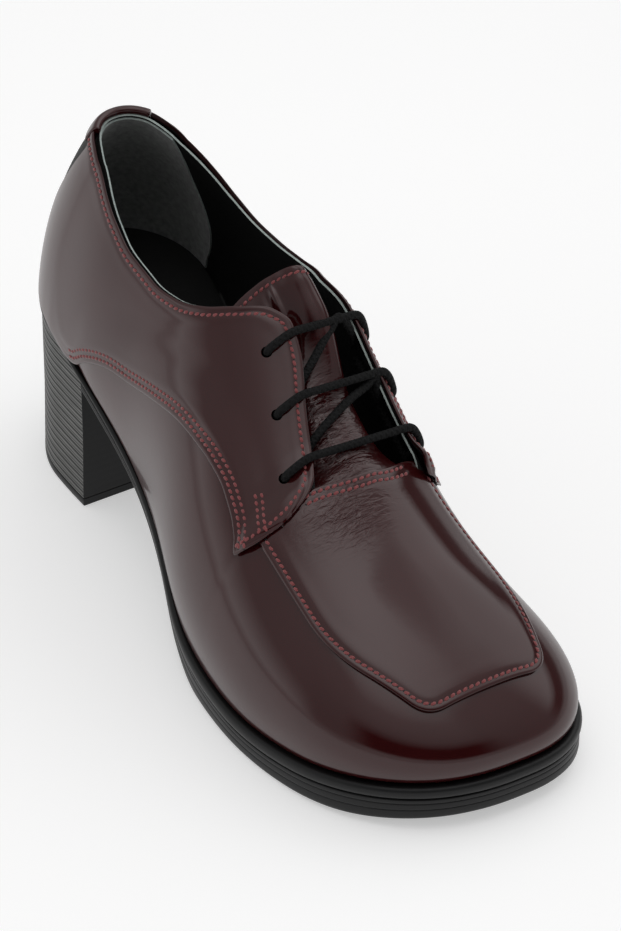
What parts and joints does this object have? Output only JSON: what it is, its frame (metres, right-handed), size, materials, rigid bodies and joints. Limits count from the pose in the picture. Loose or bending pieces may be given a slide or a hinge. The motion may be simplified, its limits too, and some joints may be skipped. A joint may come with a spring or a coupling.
{
  "type": "womens lace-up derby shoe on a block heel",
  "caption": "Right-foot derby shoe in burgundy patent leather with an apron toe, laced facings, a two-tier rubber sole and a straight block heel; stands on heel and forefoot.",
  "frame": {"origin": "on the floor, under the middle of the shoe's box", "axes": "toe to -Y, heel to +Y, outer side of the foot to -X, inner side to +X, up +Z"},
  "size_m": [0.093, 0.241, 0.1206],
  "materials": {
    "patent_leather": "glossy burgundy patent",
    "black_leather": "matte black",
    "black_rubber": "satin black",
    "lace_cord": "matte woven black"
  },
  "bodies": {
    "root": {"upper": "patent_leather", "quarter_lateral": "patent_leather", "quarter_medial": "patent_leather", "apron": "patent_leather", "tongue": "patent_leather", "collar_tab": "patent_leather", "backstay": "black_leather", "insole": "black_leather", "welt": "black_rubber", "outsole": "black_rubber", "heel": "black_rubber", "heel_lift": "black_rubber", "lace": "lace_cord"}
  },
  "joints": []
}
